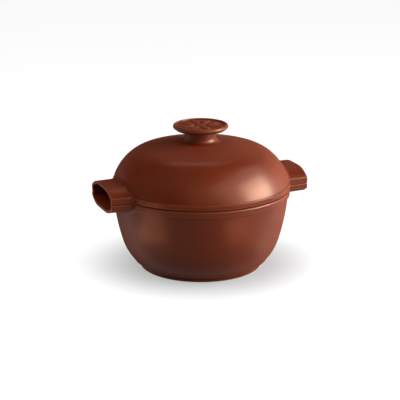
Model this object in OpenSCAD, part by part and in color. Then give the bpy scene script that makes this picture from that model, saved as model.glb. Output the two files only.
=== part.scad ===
// Round casserole in glazed ceramic, with a domed lid.
// Pot and lid each carry two half ears, which close at the seam into hollow, open-ended handles.
// The origin is the middle of the foot's underside, +Z is up and the ears lie along X.

/* [Pot] */
// Diameter over the rim bands of the pot and the lid
rim_d = 268; // [230:1:320]
// Height of the seam, where the lid rests on the pot
seam_z = 120; // [95:1:150]
// Height of the band round the pot's rim
pot_band_h = 10; // [7:0.5:14]
// How far the pot's band stands out from the wall below it
pot_band_step = 2.8; // [2:0.1:5]
// Thickness of the pot's wall
pot_wall = 6.5; // [5:0.25:9]
// Thickness of the pot's floor
floor_t = 8; // [6:0.5:12]
// Radius of the wall's gentle belly, seen from the side
belly_r = 317; // [260:1:420]
// Inward lean of the wall just under the band, in degrees
belly_lean = 4.5; // [3:0.5:7]
// Radius of the round turn from the wall to the foot
turn_r = 74; // [62:1:86]
// Slope at which that turn ends on the foot, in degrees below level
turn_end = 49; // [42:1:56]
// Radius of the blend between the inside wall and the floor
floor_blend = 25; // [12:1:35]

/* [Foot] */
// Height of the foot ring
foot_h = 8; // [6:0.5:12]
// Width of the ledge between the pot's underside and the foot ring
foot_ledge = 3.5; // [2:0.5:6]
// Width of the ring that stands on the table
foot_w = 8; // [5:0.5:12]
// Inward taper of the foot ring's outside, over its height
foot_taper = 1.2; // [0.2:0.1:2]
// Depth of the hollow inside the foot ring
foot_hollow = 4; // [2:0.5:5]
// Radius of the bead that runs round just above the foot
bead_r = 2; // [1.25:0.25:3]
// How far the bead stands out
bead_proud = 0.8; // [0.4:0.1:1]
// Height of the bead's middle above the foot ring
bead_up = 4.5; // [3:0.5:8]

/* [Lid] */
// Height of the lid's crown above the seam
crown_h = 70.5; // [60:0.5:85]
// Height of the band round the lid's rim
lid_band_h = 9.5; // [6:0.5:14]
// How far the lid's band stands out from the dome's base
lid_band_step = 1.6; // [1:0.1:3]
// Thickness of the lid
lid_wall = 6; // [4.5:0.25:8]
// Lean of the dome at its base, in degrees
dome_lean = 13; // [8:0.5:18]
// Slope at which the dome's side passes into its shoulder, in degrees
dome_turn = 52; // [44:1:58]
// Radius of the dome's shoulder
dome_shoulder_r = 57; // [48:1:66]
// Slope at which the shoulder passes into the crown, in degrees
crown_edge = 78; // [74:0.5:81]
// Drop of the centring lip into the pot
lip_h = 6; // [4:0.5:9]
// Width of the centring lip
lip_w = 5; // [4:0.5:8]
// Clearance between the lip and the pot's wall
lip_gap = 1.5; // [1:0.1:3]
// Rounding of the two bands where they meet at the seam
seam_round = 1.4; // [0.6:0.1:2]

/* [Ears] */
// How far an ear stands out beyond the rim bands
ear_reach = 23.5; // [14:0.5:36]
// Width of an ear at the rim
ear_w = 94; // [82:1:112]
// Width of an ear at its open end
ear_end_w = 91; // [78:1:108]
// Thickness of the ears
ear_wall = 4.25; // [3.5:0.25:6]
// Height of the lid's half ear above the seam
ear_rise = 21; // [18:0.5:26]
// Width of the flat along the top of the lid's half ear
ear_top_w = 26; // [12:1:40]
// Height of the band along each side of the lid's half ear
ear_top_band = 10; // [7:0.5:12]
// Depth of the pot's half ear below the seam
ear_drop = 17.3; // [14:0.1:22]
// Width of the flat along the underside of the pot's half ear
ear_under_w = 36; // [14:1:46]
// Height of the band along each side of the pot's half ear
ear_under_band = 8; // [5:0.5:10]
// How far those bands stand out from a half ear's side
ear_band_step = 1.2; // [0.6:0.1:2]
// Bulge of an ear's open end, seen from above
ear_bulge = 0.8; // [0.5:0.1:4]
// Gap between the two half ears when the lid is on
ear_gap = 0.8; // [0.6:0.1:2]

/* [Knob] */
// Diameter of the knob's disc
knob_d = 82; // [72:1:96]
// Height of the knob above the lid's crown
knob_h = 26; // [21:0.5:34]
// Thickness of the disc
knob_t = 8.5; // [7:0.5:11]
// How far the disc's underside is drawn in from its edge
knob_taper = 4.5; // [3:0.5:7]
// Height of the upright part of the disc's edge
knob_edge_h = 5; // [4:0.25:6]
// Rounding of the disc's edge
knob_round = 2; // [1:0.1:2.2]
// Diameter of the neck
neck_d = 47; // [38:1:50]
// Radius of the blend from the neck to the lid
neck_blend = 8; // [5:0.5:11]
// Width of the rim round the disc's top
knob_rim_w = 4.5; // [3.5:0.5:7]
// Depth of the disc's recessed top
recess_depth = 2; // [1:0.25:3]
// Diameter of the button raised in the middle of the recess
button_d = 13; // [9:1:16]
// Number of petals raised round the button
petals = 8; // [6:1:10]
// Length of a petal
petal_l = 21; // [15:0.5:22]
// Width of a petal at its middle
petal_w = 11; // [6:0.5:12]
// Gap between the button and the petals
petal_gap = 3; // [2:0.5:5]
// Height of the petals and the button above the recess
relief_h = 1.2; // [0.8:0.1:1.6]

/* [Hidden] */
$fn = 144;
arc_steps = 8;
glaze = "#7a3a26";
glaze_shade = "#6a2f1d";

// Small roundings
band_round = 1.8;
foot_round = 1.2;
lip_round = 1.5;
ear_band_round = 0.5;
under_round = 3;
rim_round = 1;
relief_round = 0.4;
recess_round = 0.9;
neck_sink = 0.3;
petal_sink = 1;

// The belly's arc passes under the pot's band. The turn's arc ends on the foot and touches the belly's arc.
rim_r = rim_d / 2;
wall_top = [rim_r - pot_band_step, seam_z - pot_band_h];
belly_c = wall_top - belly_r * [cos(belly_lean), -sin(belly_lean)];
turn_c_z = foot_h + turn_r * sin(turn_end);
belly_turn = asin((belly_c[1] - turn_c_z) / (belly_r - turn_r));
turn_c = belly_c + (belly_r - turn_r) * [cos(belly_turn), -sin(belly_turn)];
ledge_r = turn_c[0] + turn_r * cos(turn_end);
foot_r = ledge_r - foot_ledge;
foot_in_r = foot_r - foot_taper - foot_w;
bead_slope = asin((turn_c[1] - foot_h - bead_up) / turn_r);
bead_c = turn_c + (turn_r + bead_proud - bead_r) * [cos(bead_slope), -sin(bead_slope)];

// The pot's inside runs behind those arcs at the wall's thickness and blends into the floor.
floor_z = foot_hollow + floor_t;
inner_belly_r = belly_r - pot_wall;
inner_turn_r = turn_r - pot_wall;
mouth_slope = asin((belly_c[1] - seam_z) / inner_belly_r);
mouth_r = belly_c[0] + inner_belly_r * cos(mouth_slope);
blend_slope = asin((turn_c[1] - floor_z - floor_blend) / (inner_turn_r - floor_blend));
blend_c = turn_c + (inner_turn_r - floor_blend) * [cos(blend_slope), -sin(blend_slope)];

// The dome is three arcs that touch: side, shoulder and crown.
// The side's radius follows from the crown's height.
crown_z = seam_z + crown_h;
dome_base = [rim_r - lid_band_step, seam_z + lid_band_h];
crown_rise = tan(45 - crown_edge / 2);
shoulder_reach = dome_base[0] - dome_shoulder_r * cos(dome_turn);
shoulder_rise = dome_shoulder_r * (1 - sin(dome_turn)) + crown_rise * shoulder_reach;
side_rise = sin(dome_turn) - sin(dome_lean) - crown_rise * (cos(dome_lean) - cos(dome_turn));
side_r = (crown_z - dome_base[1] - shoulder_rise) / side_rise;
side_c = dome_base - side_r * [cos(dome_lean), sin(dome_lean)];
shoulder_c = side_c + (side_r - dome_shoulder_r) * [cos(dome_turn), sin(dome_turn)];
crown_r = dome_shoulder_r + shoulder_c[0] / cos(crown_edge);
crown_c = [0, crown_z - crown_r];
lip_r = mouth_r - lip_gap;

// A half ear is arched from the flat in its middle to the band along its side.
// Its sides draw in to the end. Each form is the way that it faces, the height of its flat from the seam,
// the width of the flat and the height of the band.
ear_half = ear_w / 2;
ear_side = ear_half - ear_band_step;
ear_end_x = rim_r + ear_reach;
ear_draw = atan2((ear_w - ear_end_w) / 2, ear_reach);
ear_overlap = ear_top_w / 4;
bulge_r = (ear_end_w ^ 2 / 4 + ear_bulge ^ 2) / (2 * ear_bulge);
lid_ear_form = [1, ear_rise, ear_top_w, ear_top_band];
pot_ear_form = [-1, ear_drop, ear_under_w, ear_under_band];

// The knob's neck stands on the crown. Its blend ends just under the crown's surface, in a clean edge.
knob_r = knob_d / 2;
knob_top = crown_z + knob_h;
knob_under = knob_top - knob_t;
recess_z = knob_top - recess_depth;
recess_r = knob_r - knob_rim_w;
relief_z = recess_z + relief_h;
petal_mid = button_d / 2 + petal_gap + petal_l / 2;
petal_r = (petal_l ^ 2 + petal_w ^ 2) / (4 * petal_w);
neck_r = neck_d / 2;
neck_foot_r = neck_r + neck_blend;
neck_foot_z = crown_c[1] + sqrt(crown_r ^ 2 - neck_foot_r ^ 2) - neck_sink;

// Points of an arc about a centre
function arc(centre, radius, from, to) =
    [for (i = [0:arc_steps])
        let (a = from + (to - from) * i / arc_steps)
        centre + radius * [cos(a), sin(a)]];

// Unit vector from one point to another
function toward(from, to) = (to - from) / norm(to - from);

// Shorter way round from one angle to another
function turn(from, to) = let (d = to - from) d > 180 ? d - 360 : d < -180 ? d + 360 : d;

// Arc that rounds the corner p between its neighbours a and b
function corner(a, p, b, radius) =
    let (u = toward(p, a), v = toward(p, b), half = acos(u * v) / 2)
    let (centre = p + (u + v) / norm(u + v) * radius / sin(half))
    let (first = p + u * radius / tan(half) - centre, last = p + v * radius / tan(half) - centre)
    let (from = atan2(first[1], first[0]))
    arc(centre, radius, from, from + turn(from, atan2(last[1], last[0])));

function xy(entry) = [entry[0], entry[1]];

// Outline from [x, y, rounding] entries. An entry with no rounding stays a sharp point.
function rounded(path) =
    [for (i = [0:len(path) - 1])
        let (p = xy(path[i]), radius = path[i][2])
        each radius == 0 ? [p] : corner(xy(path[i - 1]), p, xy(path[i + 1]), radius)];

function backward(points) = [for (i = [len(points) - 1:-1:0]) points[i]];

// Closed outline without the points that two stretches share
function joined(points) =
    [for (i = [0:len(points) - 1])
        let (before = points[i == 0 ? len(points) - 1 : i - 1])
        if (norm(points[i] - before) > 0.001) points[i]];

// Pot's outside, from the mouth over the band and down to the foot ring's inner edge
function pot_outside() = concat(
    rounded([
        [mouth_r, seam_z, 0],
        [rim_r, seam_z, seam_round],
        [rim_r, wall_top[1], band_round],
        [wall_top[0], wall_top[1], 0]]),
    arc(belly_c, belly_r, -belly_lean, -belly_turn),
    arc(turn_c, turn_r, -belly_turn, -turn_end),
    rounded([
        [foot_r, foot_h, 0],
        [foot_r - foot_taper, 0, foot_round],
        [foot_in_r, 0, 0]]));

// Pot's inside, from the middle of the floor up to the mouth
function pot_inside() = concat(
    [[0, floor_z]],
    arc(blend_c, floor_blend, -90, -blend_slope),
    arc(turn_c, inner_turn_r, -blend_slope, -belly_turn),
    arc(belly_c, inner_belly_r, -belly_turn, -mouth_slope));

// Dome's surface from the crown down to the base, set in by a thickness
function dome_line(inset) = concat(
    arc(crown_c, crown_r - inset, 90, crown_edge),
    arc(shoulder_c, dome_shoulder_r - inset, crown_edge, dome_turn),
    arc(side_c, side_r - inset, dome_turn, dome_lean));

// Lid's outside, from the crown down over the band to the seam and in to the lip
function lid_outside() = concat(
    dome_line(0),
    arc(dome_base - [0, lid_band_step], lid_band_step, 90, 0),
    rounded([
        [rim_r, dome_base[1] - lid_band_step, 0],
        [rim_r, seam_z, seam_round],
        [lip_r, seam_z, 0]]));

// Lip that centres the lid in the pot's mouth
function lid_lip() = rounded([
    [lip_r, seam_z, 0],
    [lip_r, seam_z - lip_h, lip_round],
    [lip_r - lip_w, seam_z - lip_h, lip_round],
    [lip_r - lip_w, seam_z, 0]]);

// Knob from the middle of its top, over the rim and down the neck to the crown
function knob_line() = rounded([
    [0, relief_z, 0],
    [button_d / 2, relief_z, relief_round],
    [button_d / 2, recess_z, 0],
    [recess_r, recess_z, 0],
    [recess_r, knob_top, recess_round],
    [knob_r, knob_top, knob_round],
    [knob_r, knob_top - knob_edge_h, rim_round],
    [knob_r - knob_taper, knob_under, rim_round],
    [neck_r, knob_under, under_round],
    [neck_r, neck_foot_z, neck_blend],
    [neck_foot_r, neck_foot_z, 0]]);

// One side across a half ear, set in by a thickness: half of the flat, then the arch that touches it
function ear_arch(form, inset) =
    let (up = form[0], rise = form[1], flat = form[2] / 2)
    let (run = ear_side - flat, fall = rise - form[3], radius = (run ^ 2 + fall ^ 2) / (2 * fall))
    let (ends = acos((run - inset) / (radius - inset)))
    [for (p = concat([[-ear_overlap, rise - inset]], arc([flat, rise - radius], radius - inset, 90, ends)))
        [p[0], up * p[1]]];

// Band along a half ear's side, and its edge at the seam
function ear_band(form) = let (up = form[0]) rounded([
    [ear_side, up * form[3], 0],
    [ear_half, up * form[3], ear_band_round],
    [ear_half, up * ear_gap / 2, ear_band_round],
    [-ear_overlap, up * ear_gap / 2, 0]]);

// End of a hollow's outline, past the seam
function past_seam(form) = [[ear_side - ear_wall, -form[0] * ear_gap], [-ear_overlap, -form[0] * ear_gap]];

// Solid turned about the vertical axis
module turned(points) {
    rotate_extrude() polygon(joined(points));
}

// Pot and lid as filled solids, which cut what is joined to them
module pot_filled() {
    turned(concat(pot_outside(), [[0, 0], [0, seam_z]]));
}

module lid_filled() {
    turned(concat(lid_outside(), [[0, seam_z]]));
}

// Bar along X with the outline of an ear's one side, turned to the ear's draw, and its mirror image
module ear_bar(points) {
    for (side = [0, 1])
        mirror([0, side, 0])
            translate([rim_r, ear_half, seam_z])
                rotate([0, 0, -ear_draw])
                    translate([-rim_r, -ear_half, 0])
                        rotate([90, 0, 90])
                            linear_extrude(ear_end_x + ear_w) polygon(joined(points));
}

// Hollow half ear with its bulging open end, before it is cut to the pot or the lid
module half_ear(form) {
    difference() {
        intersection() {
            ear_bar(concat(ear_arch(form, 0), ear_band(form)));
            translate([ear_end_x - bulge_r, 0, seam_z - ear_w / 2]) cylinder(r = bulge_r, h = ear_w);
        }
        ear_bar(concat(ear_arch(form, ear_wall), past_seam(form)));
    }
}

module pot_ear() {
    difference() {
        half_ear(pot_ear_form);
        pot_filled();
    }
}

module lid_ear() {
    difference() {
        half_ear(lid_ear_form);
        lid_filled();
    }
}

// Half of a petal's outline: a disc set off to one side, which overlaps its mirror image
module petal_disc(side) {
    translate([petal_mid, side * (petal_r - petal_w / 2)]) circle(r = petal_r);
}

module petal() {
    translate([0, 0, recess_z - petal_sink]) linear_extrude(relief_h + petal_sink) intersection() {
        petal_disc(1);
        petal_disc(-1);
    }
}

module pot_body() {
    color(glaze) union() {
        turned(concat(pot_outside(), [[foot_in_r, foot_hollow], [0, foot_hollow]], pot_inside()));
        rotate_extrude() translate(bead_c) circle(r = bead_r);
    }
}

module pot_ear_left() {
    color(glaze_shade) mirror([1, 0, 0]) pot_ear();
}

module pot_ear_right() {
    color(glaze_shade) pot_ear();
}

module lid_dome() {
    color(glaze) turned(concat(lid_outside(), lid_lip(), backward(dome_line(lid_wall))));
}

module lid_ear_left() {
    color(glaze_shade) mirror([1, 0, 0]) lid_ear();
}

module lid_ear_right() {
    color(glaze_shade) lid_ear();
}

module knob() {
    color(glaze) union() {
        difference() {
            turned(concat(knob_line(), [[0, neck_foot_z]]));
            lid_filled();
        }
        for (i = [0:petals - 1]) rotate([0, 0, i * 360 / petals]) petal();
    }
}

pot_body();
pot_ear_left();
pot_ear_right();
lid_dome();
lid_ear_left();
lid_ear_right();
knob();
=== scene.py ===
import bpy
import numpy as np
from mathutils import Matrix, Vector


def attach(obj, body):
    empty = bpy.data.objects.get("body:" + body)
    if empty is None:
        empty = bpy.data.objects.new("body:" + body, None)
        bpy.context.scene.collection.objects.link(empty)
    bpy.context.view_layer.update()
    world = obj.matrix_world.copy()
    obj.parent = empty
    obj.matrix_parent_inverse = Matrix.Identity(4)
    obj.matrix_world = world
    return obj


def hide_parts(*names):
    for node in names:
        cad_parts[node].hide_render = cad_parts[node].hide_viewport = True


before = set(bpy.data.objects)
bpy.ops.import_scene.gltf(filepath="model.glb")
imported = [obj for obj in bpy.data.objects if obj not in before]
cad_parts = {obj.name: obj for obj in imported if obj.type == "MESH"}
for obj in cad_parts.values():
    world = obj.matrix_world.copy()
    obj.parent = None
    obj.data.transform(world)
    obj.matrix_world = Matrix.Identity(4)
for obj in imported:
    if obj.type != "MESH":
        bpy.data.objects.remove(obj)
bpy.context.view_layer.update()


# The pot is a thick-walled bowl of heatproof clay, cast in one piece with its foot ring and turned smooth.
# A band stiffens the rim and a fine bead runs round above the foot. It is glazed inside and out,
# but for the face of the foot ring that stands on the kiln shelf.
MM = 0.001
SEAM = 120.0
RIM_R = 134.0
POT_BAND_H = 10.0
POT_BAND_STEP = 2.8
POT_WALL = 6.5
FLOOR_Z = 12.0
FLOOR_BLEND = 25.0
BELLY_R = 317.0
BELLY_LEAN = 4.5
TURN_R = 74.0
TURN_END = 49.0
FOOT_H = 8.0
FOOT_LEDGE = 3.5
FOOT_TAPER = 1.2
FOOT_W = 8.0
FOOT_HOLLOW = 4.0
BEAD_UP = 4.5
BEAD_PROUD = 0.8
BEAD_HALF = 2.1


def heading(degrees):
    """Unit vector (cos, sin) of an angle in degrees."""
    return np.array([np.cos(np.radians(degrees)), np.sin(np.radians(degrees))])


def slope(rise, length):
    """Angle in degrees whose sine is rise over length."""
    return float(np.degrees(np.arcsin(rise / length)))


def bow(centre, radius, start, end, step=1.4):
    """Arc: centre plus radius times (cos, sin) of an angle that goes evenly from start to end.
    Its points are about step mm apart."""
    count = max(7, int(np.ceil(abs(np.radians(end - start)) * radius / step)) + 1)
    angle = np.radians(np.linspace(start, end, count))
    return np.asarray(centre) + radius * np.stack([np.cos(angle), np.sin(angle)], 1)


def eased(corners):
    """Outline through corners (across, up, rounding).
    Each rounded corner becomes the arc that touches both its sides."""
    spots = [np.asarray(c[:2], float) for c in corners]
    out = []
    for i, corner in enumerate(corners):
        if corner[2] == 0:
            out.append(spots[i][None])
            continue
        back, ahead = (w / np.linalg.norm(w) for w in (spots[i - 1] - spots[i], spots[i + 1] - spots[i]))
        half = np.arccos(np.clip(back @ ahead, -1, 1)) / 2
        centre = spots[i] + (back + ahead) / np.linalg.norm(back + ahead) * corner[2] / np.sin(half)
        first, last = (spots[i] + w * corner[2] / np.tan(half) - centre for w in (back, ahead))
        start = np.arctan2(first[1], first[0])
        swing = (np.arctan2(last[1], last[0]) - start + np.pi) % (2 * np.pi) - np.pi
        angle = np.linspace(start, start + swing, 9)
        out.append(centre + corner[2] * np.stack([np.cos(angle), np.sin(angle)], 1))
    return np.concatenate(out)


def evened(line, step):
    """The same outline with doubled points dropped and new ones set in, so that no gap is longer than step mm."""
    line = line[np.r_[True, np.linalg.norm(np.diff(line, axis=0), axis=1) > 0.04]]
    gap = np.linalg.norm(np.diff(line, axis=0), axis=1)
    parts = np.maximum(1, np.ceil(gap / step).astype(int))
    run = np.r_[0, np.cumsum(gap)]
    piece = np.repeat(np.arange(len(gap)), parts)
    share = (np.arange(parts.sum()) - np.repeat(np.cumsum(parts) - parts, parts)) / parts[piece]
    at = np.r_[run[piece] + share * gap[piece], run[-1]]
    return np.stack([np.interp(at, run, line[:, 0]), np.interp(at, run, line[:, 1])], 1)


def sharpness(line, reach=1.3, blur=0.7):
    """How tightly an outline turns: its bend per mm times reach, averaged over about blur mm on either side.
    It nears 1 on crisp outer edges and -1 in tight inner corners."""
    way = np.diff(line, axis=0)
    length = np.linalg.norm(way, axis=1)
    turning = np.r_[0, -np.diff(np.unwrap(np.arctan2(way[:, 1], way[:, 0]))), 0]
    run = np.r_[0, np.cumsum(length)]
    weight = np.exp(-0.5 * ((run[:, None] - run) / blur) ** 2) / (blur * np.sqrt(2 * np.pi))
    return np.clip(weight @ turning * reach, -1, 1)


def turned(outline, sides=256):
    """Surface of revolution: (radius cos a, radius sin a, height) for each outline point and angle a.
    Both ends of the outline lie on the axis."""
    angle = np.linspace(0, 2 * np.pi, sides, endpoint=False)
    radius, height = outline[1:-1, :1], outline[1:-1, 1:]
    rings = np.stack([radius * np.cos(angle), radius * np.sin(angle), height + 0 * angle], 2).reshape(-1, 3)
    spots = np.concatenate([[[0, 0, outline[0, 1]]], rings, [[0, 0, outline[-1, 1]]]])
    index = 1 + np.arange(len(rings)).reshape(-1, sides)
    nxt = np.roll(index, -1, axis=1)
    quads = np.stack([index[:-1], index[1:], nxt[1:], nxt[:-1]], 2).reshape(-1, 4)
    first = np.stack([0 * index[0], index[0], nxt[0]], 1)
    last = np.stack([0 * index[0] + len(rings) + 1, nxt[-1], index[-1]], 1)
    ring_of = np.r_[0, np.repeat(np.arange(1, len(outline) - 1), sides), len(outline) - 1]
    return spots, quads.tolist() + first.tolist() + last.tolist(), ring_of


def fired(name, spots, faces, marks, finish):
    """Mesh object from points in mm and faces, with one number per point under each name in marks, shaded smooth."""
    mesh = bpy.data.meshes.new(name)
    mesh.from_pydata((np.asarray(spots) * MM).tolist(), [], faces)
    for mark, values in marks.items():
        mesh.attributes.new(mark, "FLOAT", "POINT").data.foreach_set("value", np.asarray(values, np.float32))
    mesh.shade_smooth()
    mesh.materials.append(finish)
    mesh.update()
    piece = bpy.data.objects.new(name, mesh)
    bpy.context.scene.collection.objects.link(piece)
    return piece


def glaze_effect():
    """Node group of the iron glaze: soft clouding, fine specks, thin glaze on edges made lighter, partly as a
    painted highlight, pooled glaze in corners made darker, partly as painted shade, and bare clay."""
    dark_iron, red_iron = (0.112, 0.0134, 0.0022), (0.124, 0.0156, 0.0028)
    thick_glaze_and_shade, edge_glaze_and_highlight, clay = (0.066, 0.0066, 0.0013), (0.235, 0.055, 0.020), (0.42, 0.25, 0.155)
    group = bpy.data.node_groups.new("iron_glaze", "ShaderNodeTree")
    for socket in ("Edge", "Bare"):
        group.interface.new_socket(socket, in_out="INPUT", socket_type="NodeSocketFloat")
    group.interface.new_socket("Color", in_out="OUTPUT", socket_type="NodeSocketColor")
    for socket in ("Roughness", "Height"):
        group.interface.new_socket(socket, in_out="OUTPUT", socket_type="NodeSocketFloat")
    make, link = group.nodes.new, group.links.new
    given, put = make("NodeGroupInput"), make("NodeGroupOutput")
    place = make("ShaderNodeTexCoord").outputs["Object"]

    def noise(scale, detail, rough):
        node = make("ShaderNodeTexNoise")
        node.inputs["Scale"].default_value = scale
        node.inputs["Detail"].default_value = detail
        node.inputs["Roughness"].default_value = rough
        link(place, node.inputs["Vector"])
        return node.outputs["Fac"]

    def sums(kind, a, b, clamp=False):
        node = make("ShaderNodeMath")
        node.operation, node.use_clamp = kind, clamp
        for socket, value in zip(node.inputs, (a, b)):
            if isinstance(value, (int, float)):
                socket.default_value = value
            else:
                link(value, socket)
        return node.outputs[0]

    def spread(value, low, high, to_low, to_high):
        node = make("ShaderNodeMapRange")
        for socket, number in zip(("From Min", "From Max", "To Min", "To Max"), (low, high, to_low, to_high)):
            node.inputs[socket].default_value = number
        link(value, node.inputs["Value"])
        return node.outputs["Result"]

    def tint(share, under, over):
        node = make("ShaderNodeMix")
        node.data_type = "RGBA"
        link(share, node.inputs["Factor"])
        for socket, colour in (("A_Color", under), ("B_Color", over)):
            target = next(s for s in node.inputs if s.identifier == socket)
            if isinstance(colour, tuple):
                target.default_value = (*colour, 1)
            else:
                link(colour, target)
        return next(s for s in node.outputs if s.identifier == "Result_Color")

    cloud, grain, fleck = noise(26, 5, 0.55), noise(170, 4, 0.6), noise(1150, 2, 0.5)
    tone = sums("ADD", sums("MULTIPLY", cloud, 0.6), sums("MULTIPLY", grain, 0.4))
    colour = tint(spread(tone, 0.36, 0.64, 0, 1), dark_iron, red_iron)
    colour = tint(spread(fleck, 0.66, 0.74, 0, 0.2), colour, thick_glaze_and_shade)
    # Crisp edges are lighter: partly thin glaze, partly a painted highlight.
    thin_and_highlight = sums("MULTIPLY", sums("MAXIMUM", given.outputs["Edge"], 0.0), spread(grain, 0.3, 0.7, 0.3, 0.6), True)
    colour = tint(thin_and_highlight, colour, edge_glaze_and_highlight)
    # Inner corners are darker: partly pooled glaze, partly painted shade.
    pooled_and_shade = sums("MULTIPLY", sums("MULTIPLY", sums("MINIMUM", given.outputs["Edge"], 0.0), -1.0), 0.75, True)
    colour = tint(pooled_and_shade, colour, thick_glaze_and_shade)
    colour = tint(given.outputs["Bare"], colour, clay)
    link(colour, put.inputs["Color"])
    rough = sums("ADD", spread(grain, 0.3, 0.7, 0.285, 0.315), spread(cloud, 0.3, 0.7, -0.012, 0.012))
    rough = sums("ADD", rough, sums("MULTIPLY", given.outputs["Bare"], 0.5), True)
    link(rough, put.inputs["Roughness"])
    peel = sums("ADD", sums("MULTIPLY", noise(310, 2, 0.5), 0.12), noise(48, 2, 0.4))
    link(sums("ADD", peel, sums("MULTIPLY", fleck, sums("ADD", 0.012, given.outputs["Bare"]))), put.inputs["Height"])
    return group


IRON_GLAZE = glaze_effect()


def glaze(name):
    """Satin glaze over clay: the glaze group gives colour, roughness and relief, the shader its reddish sheen.
    Layer Weight makes the gloss softer where the surface turns away, as on a glaze that is not quite smooth."""
    finish = bpy.data.materials.new(name)
    finish.use_nodes = True
    tree = finish.node_tree
    shader = tree.nodes["Principled BSDF"]
    coat = tree.nodes.new("ShaderNodeGroup")
    coat.node_tree = IRON_GLAZE
    for mark in ("Edge", "Bare"):
        node = tree.nodes.new("ShaderNodeAttribute")
        node.attribute_name = mark.lower()
        tree.links.new(node.outputs["Fac"], coat.inputs[mark])
    bump = tree.nodes.new("ShaderNodeBump")
    bump.inputs["Strength"].default_value = 0.16
    bump.inputs["Distance"].default_value = 0.0004
    tree.links.new(coat.outputs["Height"], bump.inputs["Height"])
    tree.links.new(coat.outputs["Color"], shader.inputs["Base Color"])
    facing, soften, dulled = (
        tree.nodes.new(n) for n in ("ShaderNodeLayerWeight", "ShaderNodeMapRange", "ShaderNodeMath"))
    for socket, number in (("From Min", 0.4), ("From Max", 0.85), ("To Min", 0.0), ("To Max", 0.5)):
        soften.inputs[socket].default_value = number
    dulled.use_clamp = True
    tree.links.new(facing.outputs["Facing"], soften.inputs["Value"])
    tree.links.new(coat.outputs["Roughness"], dulled.inputs[0])
    tree.links.new(soften.outputs["Result"], dulled.inputs[1])
    tree.links.new(dulled.outputs[0], shader.inputs["Roughness"])
    tree.links.new(bump.outputs["Normal"], shader.inputs["Normal"])
    shader.inputs["IOR"].default_value = 1.5
    shader.inputs["Specular IOR Level"].default_value = 0.19
    shader.inputs["Specular Tint"].default_value = (1.0, 0.76, 0.6, 1)
    return finish


wall_top = np.array([RIM_R - POT_BAND_STEP, SEAM - POT_BAND_H])
belly = wall_top - BELLY_R * heading(-BELLY_LEAN)
turn_start = slope(belly[1] - FOOT_H - TURN_R * np.sin(np.radians(TURN_END)), BELLY_R - TURN_R)
turn = belly + (BELLY_R - TURN_R) * heading(-turn_start)
blend_slope = slope(turn[1] - FLOOR_Z - FLOOR_BLEND, TURN_R - POT_WALL - FLOOR_BLEND)
floor_turn = turn + (TURN_R - POT_WALL - FLOOR_BLEND) * heading(-blend_slope)
mouth_slope = slope(belly[1] - SEAM, BELLY_R - POT_WALL)
mouth = belly + (BELLY_R - POT_WALL) * heading(-mouth_slope)
pot_inner = np.concatenate([
    [[0.0, FLOOR_Z]],
    bow(floor_turn, FLOOR_BLEND, -90, -blend_slope),
    bow(turn, TURN_R - POT_WALL, -blend_slope, -turn_start),
    bow(belly, BELLY_R - POT_WALL, -turn_start, -mouth_slope - 0.4)])
pot_rim = eased([
    [*pot_inner[-1], 0],
    [*mouth, 1.8],
    [RIM_R, SEAM, 2.1],
    [RIM_R, wall_top[1], 1.9],
    [*wall_top, 0.9],
    [*(belly + BELLY_R * heading(-BELLY_LEAN - 0.5)), 0]])
bead_slope = slope(turn[1] - FOOT_H - BEAD_UP, TURN_R)
turn_ends = (-turn_start, -TURN_END + 1.5)
pot_turn = bow(turn, TURN_R, *turn_ends, 0.5)
turn_angle = np.linspace(*turn_ends, len(pot_turn))
bead_off = np.clip(np.abs(turn_angle + bead_slope) / np.degrees(BEAD_HALF / TURN_R), 0, 1)
pot_turn += (pot_turn - turn) / TURN_R * (BEAD_PROUD * np.cos(bead_off * np.pi / 2) ** 2)[:, None]
ledge_r = (turn + TURN_R * heading(-TURN_END))[0]
ring_r = ledge_r - FOOT_LEDGE - FOOT_TAPER
pot_foot = eased([
    [*pot_turn[-1], 0],
    [ledge_r, FOOT_H, 0.9],
    [ledge_r - FOOT_LEDGE, FOOT_H, 1.2],
    [ring_r, 0.0, 1.2],
    [ring_r - FOOT_W, 0.0, 1.2],
    [ring_r - FOOT_W - 0.3, FOOT_HOLLOW, 1.2],
    [0.0, FOOT_HOLLOW, 0]])
pot_outside = np.concatenate([
    pot_rim[1:], bow(belly, BELLY_R, -BELLY_LEAN - 0.5, -turn_start), pot_turn, pot_foot[1:-1]])
pot_outline = np.concatenate([evened(pot_inner, 2.6), evened(pot_outside, 1.5), evened(pot_foot[-2:], 8.0)])
pot_outline = evened(pot_outline, 8.0)
spots, faces, ring_of = turned(pot_outline)
bare = (pot_outline[:, 1] < 0.5) & (pot_outline[:, 0] > 80)
# Edge marks make crisp edges lighter, partly thin glaze and partly a painted highlight, and inner corners darker,
# partly pooled glaze and partly painted shade.
pot_marks = {"edge": sharpness(pot_outline)[ring_of], "bare": bare[ring_of]}
pot = fired("pot_body_glazed", spots, faces, pot_marks, glaze("pot_glaze"))
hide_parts("pot_body")
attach(pot, "pot")


# The pot's half ears are hollow shells of the same clay, luted to the rim band and blended into the wall.
# Each has an arched underside with a flat along its middle and a band along its sides at the seam.
# Its end is open, with a soft lip.
EAR_END = 157.5
EAR_HALF = 47.0
EAR_SIDE = 45.8
EAR_WALL = 4.25
EAR_DRAW = 1.5 / 23.5
EAR_BULGE_R = 1294.3
LIP = 0.9
EDGE_CLEAR = 0.4
EDGE_START = 1.4
EDGE_ROUND = 0.9
LOW_DROP = 17.3
LOW_FLAT = 18.0
LOW_BAND = 8.0
LOW_BLEND = 7.0
BAND_BLEND = 1.0
INNER_BLEND = 2.0
SEAM_BLEND = 0.35
FLAT_STEPS = 9
ARCH_STEPS = 30
BAND_STEPS = 30


def measured(line, count):
    """The outline again with count points, evenly spread over its length."""
    line = np.asarray(line, float)
    run = np.r_[0, np.cumsum(np.linalg.norm(np.diff(line, axis=0), axis=1))]
    at = np.linspace(0, run[-1], count)
    return np.stack([np.interp(at, run, line[:, 0]), np.interp(at, run, line[:, 1])], 1)


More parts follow.
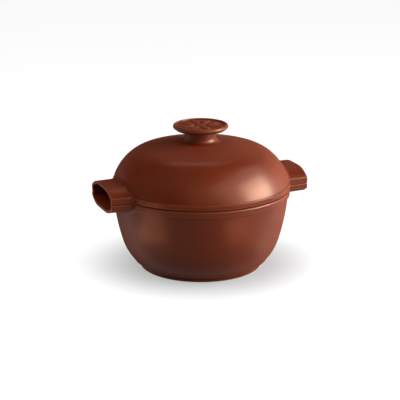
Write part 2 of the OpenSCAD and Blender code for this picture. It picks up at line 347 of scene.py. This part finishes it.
def reach_to(body, spots):
    """Signed distance in mm from points to a turned body with that outline, and the nearest points on it."""
    radius = np.hypot(spots[:, 0], spots[:, 1])
    flat = np.stack([radius, spots[:, 2]], 1)[:, None]
    start, way = body[None, :-1], np.diff(body, axis=0)[None]
    along = np.clip(((flat - start) * way).sum(2) / (way ** 2).sum(2), 0, 1)
    near = start + along[..., None] * way
    gap = np.linalg.norm(flat - near, axis=2)
    best = gap.argmin(1)
    rows = np.arange(len(spots))
    near = near[rows, best]
    order = np.argsort(body[:, 1], kind="stable")
    outside = radius > np.interp(spots[:, 2], body[order, 1], body[order, 0])
    on_body = np.stack([spots[:, 0] / radius * near[:, 0], spots[:, 1] / radius * near[:, 0], near[:, 1]], 1)
    return np.where(outside, 1, -1) * gap[rows, best], on_body


def arched(rise, flat, band):
    """Half of an ear's section: its outer skin, its inner skin, and the rounded edge at the seam between them.
    Each skin has three runs: the flat, the arch that touches it and falls to the band, and the band to the seam."""
    run, fall = EAR_SIDE - flat, rise - band
    radius = (run ** 2 + fall ** 2) / (2 * fall)
    centre = np.array([flat, rise - radius])
    ends = np.degrees(np.arccos(run / radius))
    inner_ends = np.degrees(np.arccos((run - EAR_WALL) / (radius - EAR_WALL)))
    arch = bow(centre, radius, 90, ends + 2.0)
    inner_arch = bow(centre, radius - EAR_WALL, 90, inner_ends + 3.0)
    inner_side = EAR_SIDE - EAR_WALL
    outer_band = eased([
        [*arch[-1], 0], [EAR_SIDE, band, 0.8], [EAR_HALF, band, 1.0], [EAR_HALF, EDGE_START, 0]])
    inner_corner = (centre + (radius - EAR_WALL) * heading(inner_ends))[1]
    inner_band = eased([
        [*inner_arch[-1], 0], [inner_side, inner_corner, 1.5], [inner_side, EDGE_START, 0]])
    edge = measured(eased([
        [EAR_HALF, EDGE_START, 0], [EAR_HALF, EDGE_CLEAR, EDGE_ROUND],
        [inner_side, EDGE_CLEAR, EDGE_ROUND], [inner_side, EDGE_START, 0]]), 21)

    def skin(height, curve, side_band):
        runs = ([[0, height], [flat, height]], curve, side_band)
        runs = [measured(line, count) for line, count in zip(runs, (FLAT_STEPS, ARCH_STEPS, BAND_STEPS))]
        return np.concatenate([runs[0][:-1], runs[1][:-1], runs[2]])

    return skin(rise, arch, outer_band), skin(rise - EAR_WALL, inner_arch, inner_band), edge


def half_ear(section, up, blend, body):
    """Half ear, along +X. Its closed section (outer skin, seam edge, inner skin) is carried along X: out of the body
    through a fillet, straight to the end, and over a quarter-round lip. The fillet is rolled by a ball of radius
    blend, which shrinks where the skin turns to the seam, so that each half stays on its own side."""
    outer, inner, edge = (line * [1, up] for line in section)
    half = len(outer)
    flip = np.array([-1, 1])
    loop = np.concatenate([
        (outer * flip)[:0:-1], outer, edge[1:-1], inner[::-1], (inner * flip)[1:], (edge * flip)[-2:0:-1]])
    size = np.concatenate([
        blend[:0:-1], blend, np.full(len(edge) - 2, blend[-1]),
        np.full(2 * half - 1, INNER_BLEND), np.full(len(edge) - 2, blend[-1])])
    size = np.convolve(np.r_[size[-4:], size, size[:4]], np.ones(9) / 9, "valid")
    way = np.roll(loop, -1, 0) - np.roll(loop, 1, 0)
    way /= np.linalg.norm(way, axis=1)[:, None]
    area = (loop[:, 0] * np.roll(loop[:, 1], -1) - loop[:, 1] * np.roll(loop[:, 0], -1)).sum()
    out = np.stack([way[:, 1], -way[:, 0]], 1) * np.sign(area)
    to_seam = np.clip(-up * out[:, 1], 0, 1)
    size += (SEAM_BLEND - size) * to_seam
    tuck = (1 - 0.95 * to_seam)[:, None]
    pull = -EAR_DRAW * np.clip(loop[:, 0] / 30, -1, 1)
    normal = np.stack([-out[:, 0] * pull, out[:, 0], out[:, 1]], 1)
    normal /= np.linalg.norm(normal, axis=1)[:, None]

    def on_side(x):
        return np.stack([x, loop[:, 0] + pull * (x - RIM_R), loop[:, 1] + SEAM], 1)

    low, high = np.full(len(loop), 60.0), np.full(len(loop), EAR_END)
    for _ in range(34):
        middle = (low + high) / 2
        far = reach_to(body, on_side(middle) + size[:, None] * normal)[0] > size
        low, high = np.where(far, low, middle), np.where(far, middle, high)
    ball = on_side(high) + size[:, None] * normal
    foot = reach_to(body, ball)[1]
    to_side, to_body = -normal, (foot - ball) / np.linalg.norm(foot - ball, axis=1)[:, None]
    swing = np.arccos(np.clip((to_side * to_body).sum(1), -1, 1))[:, None]
    leave = (to_side - to_body * np.cos(swing)) / np.sin(swing)
    rows = [foot - 1.2 * tuck * leave + 2.2 * to_body, foot - 1.4 * tuck * leave + 0.14 * to_body]
    rows += [
        ball + size[:, None] * (to_body * np.cos(t * swing) + leave * np.sin(t * swing))
        for t in np.linspace(0, 1, 13)]
    stop = EAR_END - loop[:, 0] ** 2 / (2 * EAR_BULGE_R) - LIP
    rows += [on_side(high + (stop - high) * t) for t in np.linspace(0, 1, 15)[1:]]
    core = on_side(stop) - LIP * normal
    ahead = np.array([1.0, 0, 0])
    rows += [core + LIP * (np.cos(a) * normal + np.sin(a) * ahead) for a in np.radians(np.linspace(0, 90, 8)[1:])]
    spots = np.stack(rows)
    count, around = spots.shape[:2]
    index = np.arange(count * around).reshape(count, around)
    nxt = np.roll(index, -1, axis=1)
    quads = np.stack([index[:-1], index[1:], nxt[1:], nxt[:-1]], 2).reshape(-1, 4).tolist()
    skin = np.arange(2 * half - 1)
    across = np.arange(2 * half - 1 + len(edge) - 2, 4 * half - 2 + len(edge) - 2)[::-1]
    for row, turned_over in ((index[-1], -1), (index[0], 1)):
        strip = np.stack([row[skin[:-1]], row[skin[1:]], row[across[1:]], row[across[:-1]]], 1)
        ends = [row[skin[-1]:across[-1] + 1], np.r_[row[across[0]:], row[0]]]
        quads += [face[::turned_over] for face in strip.tolist() + [e.tolist() for e in ends]]
    spots = spots.reshape(-1, 3)
    # Glaze marks: darker at the ear's root, partly pooled glaze and partly painted shade where it meets the body;
    # lighter at the end lip and on crisp edges, partly thin glaze and partly painted highlight.
    crisp = sharpness(np.concatenate([loop[-12:], loop, loop[:12]]))[12:-12] * -np.sign(area)
    root_pool_and_shade = np.r_[np.full(9, -0.3), np.linspace(-0.3, 0, 6), np.zeros(count - 15)]
    lip_glaze_and_highlight = np.r_[np.zeros(count - 9), np.linspace(0, 0.7, 5), np.linspace(0.7, 0.3, 4)]
    along = np.r_[np.zeros(8), np.linspace(0, 1, 7), np.ones(count - 15)]
    marks = np.clip(root_pool_and_shade[:, None] + lip_glaze_and_highlight[:, None] + along[:, None] * crisp * (1 - lip_glaze_and_highlight[:, None]), -1, 1)
    tri = np.array([(f[0], f[i], f[i + 1]) for f in quads for i in range(1, len(f) - 1)])
    a, b, c = (spots[tri[:, k]] for k in range(3))
    if (a * np.cross(b, c)).sum() < 0:
        quads = [f[::-1] for f in quads]
    return spots, quads, {"edge": marks.ravel(), "bare": np.zeros(len(spots))}


def both_sides(name, ear, finish, nodes, body):
    """The ear as it is on the right, and its mirror image in X, with the faces turned round, on the left."""
    spots, faces, marks = ear
    for side, node in zip((1, -1), nodes):
        turned_faces = faces if side == 1 else [f[::-1] for f in faces]
        side_name = "right" if side == 1 else "left"
        piece = fired(f"{name}_{side_name}_glazed", spots * [side, 1, 1], turned_faces, marks, finish)
        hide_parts(node)
        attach(piece, body)


low_section = arched(LOW_DROP, LOW_FLAT, LOW_BAND)
low_blend = np.concatenate([
    np.full(FLAT_STEPS + ARCH_STEPS - 2, LOW_BLEND), np.linspace(LOW_BLEND, BAND_BLEND, BAND_STEPS)])
band_step = np.abs(pot_outside[:, 1] - wall_top[1] + 1.0) < 3.2
pot_wall_line = np.concatenate([
    [[RIM_R, 150.0]],
    pot_outside[(pot_outside[:, 0] > 100) & (pot_outside[:, 1] < 117) & (pot_outside[:, 1] > 30) & ~band_step]])
low_ear = half_ear(low_section, -1, low_blend, evened(pot_wall_line, 2.0))
both_sides("pot_ear", low_ear, glaze("pot_ear_glaze"), ("pot_ear_right", "pot_ear_left"), "pot")


# The lid is a domed shell with a band round its rim. A lip under the band drops into the pot's mouth
# and centres it, a narrow gap is left round the seam, and the whole of it is glazed.
CROWN_Z = 190.5
CROWN_EDGE = 78.0
SHOULDER_R = 57.0
DOME_TURN = 52.0
DOME_LEAN = 13.0
LID_BAND_H = 9.5
LID_BAND_STEP = 1.6
LID_WALL = 6.0
LID_LIP_H = 6.0
LID_LIP_W = 5.0
LID_LIP_CLEAR = 1.5
SHADOW_GAP = 1.0
SHADOW_DEPTH = 4.2

dome_base = np.array([RIM_R - LID_BAND_STEP, SEAM + LID_BAND_H])
crown_rise = np.tan(np.radians(45 - CROWN_EDGE / 2))
shoulder_reach = dome_base[0] - SHOULDER_R * heading(DOME_TURN)[0]
shoulder_rise = SHOULDER_R * (1 - heading(DOME_TURN)[1]) + crown_rise * shoulder_reach
side_way = heading(DOME_TURN) - heading(DOME_LEAN)
side_r = (CROWN_Z - dome_base[1] - shoulder_rise) / (side_way[1] + crown_rise * side_way[0])
side = dome_base - side_r * heading(DOME_LEAN)
shoulder = side + (side_r - SHOULDER_R) * heading(DOME_TURN)
crown_r = SHOULDER_R + shoulder[0] / heading(CROWN_EDGE)[0]
crown = np.array([0.0, CROWN_Z - crown_r])
lip_r = mouth[0] - LID_LIP_CLEAR

lid_dome_line = np.concatenate([
    bow(crown, crown_r, 90, CROWN_EDGE), bow(shoulder, SHOULDER_R, CROWN_EDGE, DOME_TURN),
    bow(side, side_r, DOME_TURN, DOME_LEAN + 1.6)])
lid_rim = eased([
    [*lid_dome_line[-1], 0],
    [*dome_base, 0.9],
    [RIM_R, dome_base[1], 1.3],
    [RIM_R, SEAM + SHADOW_GAP, 2.0],
    [RIM_R - SHADOW_DEPTH, SEAM + SHADOW_GAP, 0.3],
    [RIM_R - SHADOW_DEPTH - 0.4, SEAM, 0.3],
    [lip_r, SEAM, 0.8],
    [lip_r, SEAM - LID_LIP_H, 1.5],
    [lip_r - LID_LIP_W, SEAM - LID_LIP_H, 1.5],
    [lip_r - LID_LIP_W, SEAM, 1.5],
    [*(side + (side_r - LID_WALL) * heading(DOME_LEAN)), 2.0],
    [*(side + (side_r - LID_WALL) * heading(DOME_LEAN + 4)), 0]])
lid_under = np.concatenate([
    bow(side, side_r - LID_WALL, DOME_LEAN + 4, DOME_TURN, 2.6),
    bow(shoulder, SHOULDER_R - LID_WALL, DOME_TURN, CROWN_EDGE, 2.6),
    bow(crown, crown_r - LID_WALL, CROWN_EDGE, 90, 2.6)])
lid_outline = np.concatenate([evened(np.concatenate([lid_dome_line, lid_rim[1:]]), 1.5), lid_under[1:]])
lid_outline = evened(lid_outline, 4.0)
lid_outline[[0, -1], 0] = 0
spots, faces, ring_of = turned(lid_outline)
# Edge marks make crisp edges lighter, partly thin glaze and partly a painted highlight, and inner corners darker,
# partly pooled glaze and partly painted shade.
lid_marks = {"edge": sharpness(lid_outline)[ring_of], "bare": np.zeros(len(spots))}
lid = fired("lid_dome_glazed", spots, faces, lid_marks, glaze("lid_glaze"))
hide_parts("lid_dome")
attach(lid, "lid")


# The lid's half ears close over the pot's at the seam. Each is a hollow arch with a taller band along its sides,
# and its back runs up into the dome in a broad, soft fillet.
HIGH_RISE = 21.0
HIGH_FLAT = 13.0
HIGH_BAND = 10.0
HIGH_BLEND = 12.0
HIGH_BLEND_END = 7.0

high_section = arched(HIGH_RISE, HIGH_FLAT, HIGH_BAND)
high_blend = np.concatenate([
    np.full(FLAT_STEPS, HIGH_BLEND), np.linspace(HIGH_BLEND, HIGH_BLEND_END, ARCH_STEPS - 2),
    np.linspace(HIGH_BLEND_END - 0.5, BAND_BLEND, BAND_STEPS)])
lid_wall_line = np.concatenate([lid_dome_line, lid_rim[1:20], [[RIM_R, 124.0], [RIM_R, 90.0]]])
lid_wall_line = lid_wall_line[lid_wall_line[:, 0] > 60]
high_ear = half_ear(high_section, 1, high_blend, evened(lid_wall_line, 2.0))
both_sides("lid_ear", high_ear, glaze("lid_ear_glaze"), ("lid_ear_right", "lid_ear_left"), "lid")


# The knob is a disc on a short waisted neck, luted to the crown with a soft flare.
# Its top is dished inside a raised rim and pressed with a rosette of petals round a button.
KNOB_R = 41.0
KNOB_TOP = CROWN_Z + 26.0
DISH_R = 36.5
DISH_Z = KNOB_TOP - 2.0
KNOB_UNDER = KNOB_TOP - 8.5
KNOB_EDGE_H = 5.0
KNOB_TAPER = 4.5
KNOB_SUNK = CROWN_Z - 4.0
KNOB_BASE_R = 30.0
NECK_R = 23.5
FLARE = 8.0
PETALS = 8
PETAL_MID = 20.0
PETAL_L = 21.0
PETAL_W = 11.0
BUTTON_R = 6.5
RELIEF = 1.7
PILLOW = 0.18
PILLOW_W = 5.0
PETAL_EDGE = 1.2
GLAZE_SHEEN_LINE = 0.9
GLAZE_SHEEN_LINE_W = 0.8

flare_z = crown[1] + np.sqrt((crown_r + FLARE) ** 2 - (NECK_R + FLARE) ** 2)
flare_end = 180 + np.degrees(np.arctan2(flare_z - crown[1], NECK_R + FLARE))
knob_line = np.concatenate([
    eased([
        [0.0, DISH_Z, 0],
        [DISH_R, DISH_Z, 0.9],
        [DISH_R, KNOB_TOP, 0.9],
        [KNOB_R, KNOB_TOP, 3.0],
        [KNOB_R, KNOB_TOP - KNOB_EDGE_H, 1.9],
        [KNOB_R - KNOB_TAPER, KNOB_UNDER, 1.6],
        [NECK_R, KNOB_UNDER, 3.2],
        [NECK_R, flare_z + 2.0, 0]]),
    bow((NECK_R + FLARE, flare_z), FLARE, 180, flare_end, 0.5),
    [[KNOB_BASE_R + 3.4, CROWN_Z - 1.65], [KNOB_BASE_R, KNOB_SUNK], [0.0, KNOB_SUNK]]])
knob_line = np.concatenate([evened(knob_line[:-2], 0.8), knob_line[-2:]])
spots, faces, ring_of = turned(knob_line, 320)


def rosette(spots):
    """Height over the dished top, and marks for the glaze colour. Petals are where two discs overlap, repeated
    round the middle, and the button is a disc. Each rises from its outline inwards to a full, slightly pillowed
    height. Its edge is lighter, partly thin glaze and partly a painted highlight, and the ground beside it darker,
    partly thick glaze and partly painted shade."""
    radius, angle = np.hypot(spots[:, 0], spots[:, 1]), np.arctan2(spots[:, 1], spots[:, 0])
    sector = 2 * np.pi / PETALS
    angle = (angle + sector / 2) % sector - sector / 2
    x, y = radius * np.cos(angle) - PETAL_MID, radius * np.sin(angle)
    disc = (PETAL_L ** 2 + PETAL_W ** 2) / (4 * PETAL_W)
    inside = disc - np.hypot(x, np.abs(y) + disc - PETAL_W / 2)
    inside = np.maximum(inside, BUTTON_R - radius)
    rise = np.clip(inside / PETAL_EDGE + 0.2, 0, 1)
    thin_and_highlight, thick_and_shade = (np.exp(-((inside - at) / GLAZE_SHEEN_LINE_W) ** 2) for at in (GLAZE_SHEEN_LINE, -GLAZE_SHEEN_LINE))
    pillow = PILLOW * np.clip(inside / PILLOW_W, 0, 1)
    return RELIEF * ((1 - PILLOW) * rise * rise * (3 - 2 * rise) + pillow), thin_and_highlight - 0.9 * thick_and_shade


raised, edge_sheen_and_shade = rosette(spots)
dished = (ring_of < np.argmax(knob_line[:, 0] > DISH_R - 0.5)) & (spots[:, 2] > DISH_Z - 0.5)
spots[:, 2] += np.where(dished, raised, 0)
# The knob's marks lighten its crisp edges and petal edges, partly as painted highlight, and darken corners and the
# ground by the petals, partly as painted shade.
knob_edge = sharpness(knob_line)[ring_of] + np.where(dished, edge_sheen_and_shade, 0)
knob_marks = {"edge": np.clip(knob_edge, -1, 1), "bare": np.zeros(len(spots))}
knob = fired("knob_glazed", spots, faces, knob_marks, glaze("knob_glaze"))
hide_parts("knob")
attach(knob, "lid")


# The studio: a plain pale floor whose glow fades near the pot into a painted soft shadow, a large soft box on the
# right
# # with a bright middle and a wide, dim surround, dim boxes on the left, in front, behind and overhead, cards on the
# floor, and a camera two metres away, slightly above.
VIEW_AZIMUTH = np.radians(-22.7)
VIEW_ELEVATION = 16.62
VIEW_DISTANCE = 2.0
VIEW_SHIFT = 0.000905
FLOOR_R = 25.0
FLOOR_DROP = 0.0002
AIM = Vector((0, 0, 0.09858))
right = Vector((np.cos(VIEW_AZIMUTH), np.sin(VIEW_AZIMUTH), 0))


def toward(azimuth, elevation):
    """Unit vector from the pot, azimuth degrees to the right of the camera and elevation degrees above level."""
    a, e = VIEW_AZIMUTH + np.radians(azimuth), np.radians(elevation)
    return Vector((np.sin(a) * np.cos(e), -np.cos(a) * np.cos(e), np.sin(e)))


def soft_box(name, azimuth, elevation, distance, wide, high, matt, gloss):
    """Rectangular lamps that face the pot, wide by high degrees as the pot sees them. Their brightness is matt where
    they light its colour and gloss, slightly warm, where it mirrors them. A lamp's power is its brightness times pi
    times its area."""
    way = toward(azimuth, elevation)
    across, up = (2 * distance * np.tan(np.radians(w / 2)) for w in (wide, high))
    for kind, glow in [k for k in (("matt", matt), ("gloss", gloss)) if k[1] > 0]:
        lamp = bpy.data.lights.new(f"{name}_{kind}", "AREA")
        lamp.shape, lamp.size, lamp.size_y = "RECTANGLE", across, up
        lamp.energy = glow * np.pi * across * up
        lamp.color = (1, 1, 1) if kind == "matt" else (1.0, 0.9, 0.8)
        stand = bpy.data.objects.new(f"{name}_{kind}", lamp)
        stand.location = AIM + way * distance
        stand.rotation_mode = "QUATERNION"
        stand.rotation_quaternion = way.to_track_quat("Z", "Y")
        stand.visible_diffuse, stand.visible_glossy = kind == "matt", kind == "gloss"
        bpy.context.scene.collection.objects.link(stand)


soft_box("box_core", 79, 13, 1.48, 32, 22, 0, 17.0)
soft_box("box_key", 80, 20, 1.5, 40, 38, 0, 20.0)
soft_box("box_right", 76, 20.5, 1.52, 58, 46, 6.5, 7.3)
soft_box("box_round", 72, 29, 1.6, 80, 65, 0, 4.1)
soft_box("box_side", -88, 8, 0.9, 36, 26, 1.5, 2.2)
soft_box("box_left", -58, 52, 1.8, 50, 50, 2.0, 0)
soft_box("box_front", 8, 32, 2.2, 45, 45, 0, 1.5)
soft_box("box_top", 0, 89, 1.6, 60, 60, 0.15, 0.85)
soft_box("strip_back", 186, 60, 1.6, 30, 9, 0, 3.2)


def card(name, aside, ahead, wide, deep, gloss, turn=0):
    """A warm card that lies on the floor, aside metres to the right of the pot and ahead of it, turned to the left
    by turn degrees. It shows in the pot's glaze alone."""
    lamp = bpy.data.lights.new(name, "AREA")
    lamp.shape, lamp.size, lamp.size_y = "RECTANGLE", wide, deep
    lamp.color = (1.0, 0.55, 0.34)
    lamp.energy = gloss * np.pi * wide * deep
    sheet = bpy.data.objects.new(name, lamp)
    sheet.location = right * aside + Vector((right.y, -right.x, 0)) * ahead + Vector((0, 0, 0.001))
    sheet.rotation_euler = (np.pi, 0, VIEW_AZIMUTH + np.radians(turn))
    sheet.visible_diffuse = sheet.visible_camera = False
    bpy.context.scene.collection.objects.link(sheet)


card("card_left", -0.4, 0.3, 0.62, 0.15, 3.0, 37)
card("card_right", 0.24, 0.14, 0.2, 0.25, 1.4)
card("card_ahead", 0.17, 0.22, 0.12, 0.12, 4.4)

floor_mesh = bpy.data.meshes.new("floor")
ring = np.linspace(0, 2 * np.pi, 96, endpoint=False)
floor_edge = np.stack([FLOOR_R * np.cos(ring), FLOOR_R * np.sin(ring), 0 * ring - FLOOR_DROP], 1)
floor_mesh.from_pydata(floor_edge.tolist(), [], [list(range(len(ring)))])
floor = bpy.data.objects.new("floor", floor_mesh)
bpy.context.scene.collection.objects.link(floor)


def shown(nodes, links):
    """Mask that is 1 where a ray comes from the camera, a mirror-like surface or glass,
    and 0 where it carries light."""
    path = nodes.new("ShaderNodeLightPath")
    mask = path.outputs["Is Camera Ray"]
    for kind in ("Is Glossy Ray", "Is Transmission Ray"):
        most = nodes.new("ShaderNodeMath")
        most.operation = "MAXIMUM"
        links.new(mask, most.inputs[0])
        links.new(path.outputs[kind], most.inputs[1])
        mask = most.outputs[0]
    return mask


pale = bpy.data.materials.new("pale_floor")
pale.use_nodes = True
nodes, links = pale.node_tree.nodes, pale.node_tree.links
nodes.remove(nodes["Principled BSDF"])
matt, lift_light, both = (
    nodes.new(n) for n in ("ShaderNodeBsdfDiffuse", "ShaderNodeEmission", "ShaderNodeAddShader"))
matt.inputs["Color"].default_value = (0.2, 0.2, 0.2, 1)
spot, away, lift_and_painted_shadow, lift_share = (nodes.new(n) for n in (
    "ShaderNodeTexCoord", "ShaderNodeVectorMath", "ShaderNodeMapRange", "ShaderNodeMath"))
away.operation, lift_share.operation = "LENGTH", "MULTIPLY"
lift_and_painted_shadow.interpolation_type = "SMOOTHSTEP"
links.new(spot.outputs["Object"], away.inputs[0])
links.new(away.outputs["Value"], lift_and_painted_shadow.inputs["Value"])
# The floor's glow is weaker near the pot: a painted shadow round its foot, on top of the lamps' own shadow.
for socket, number in (("From Min", 0.08), ("From Max", 0.21), ("To Min", 0.42), ("To Max", 0.93)):
    lift_and_painted_shadow.inputs[socket].default_value = number
links.new(shown(nodes, links), lift_share.inputs[0])
links.new(lift_and_painted_shadow.outputs["Result"], lift_share.inputs[1])
links.new(lift_share.outputs[0], lift_light.inputs["Strength"])
links.new(matt.outputs[0], both.inputs[0])
links.new(lift_light.outputs[0], both.inputs[1])
links.new(both.outputs[0], nodes["Material Output"].inputs["Surface"])
floor_mesh.materials.append(pale)

world = bpy.data.worlds.new("studio")
bpy.context.scene.world = world
world.use_nodes = True
nodes, links = world.node_tree.nodes, world.node_tree.links
compass, split, fade, show = (nodes.new(n) for n in (
    "ShaderNodeTexCoord", "ShaderNodeSeparateXYZ", "ShaderNodeMapRange", "ShaderNodeMix"))
links.new(compass.outputs["Generated"], split.inputs[0])
links.new(split.outputs["Z"], fade.inputs["Value"])
for socket, number in (("From Min", -0.01), ("From Max", 0.09), ("To Min", 1.0), ("To Max", 0.09)):
    fade.inputs[socket].default_value = number
show.inputs["A"].default_value = 0.04
links.new(shown(nodes, links), show.inputs["Factor"])
links.new(fade.outputs["Result"], show.inputs["B"])
links.new(show.outputs["Result"], nodes["Background"].inputs["Strength"])
nodes["Background"].inputs["Color"].default_value = (1, 1, 1, 1)

lens = bpy.data.cameras.new("camera")
lens.sensor_width, lens.lens = 36.0, 119.34
lens.clip_end = 200.0
camera = bpy.data.objects.new("camera", lens)
look = toward(0, VIEW_ELEVATION)
camera.location = AIM + look * VIEW_DISTANCE - right * VIEW_SHIFT
camera.rotation_mode = "QUATERNION"
camera.rotation_quaternion = look.to_track_quat("Z", "Y")
bpy.context.scene.collection.objects.link(camera)
bpy.context.scene.camera = camera
bpy.context.scene.view_settings.view_transform = "Standard"
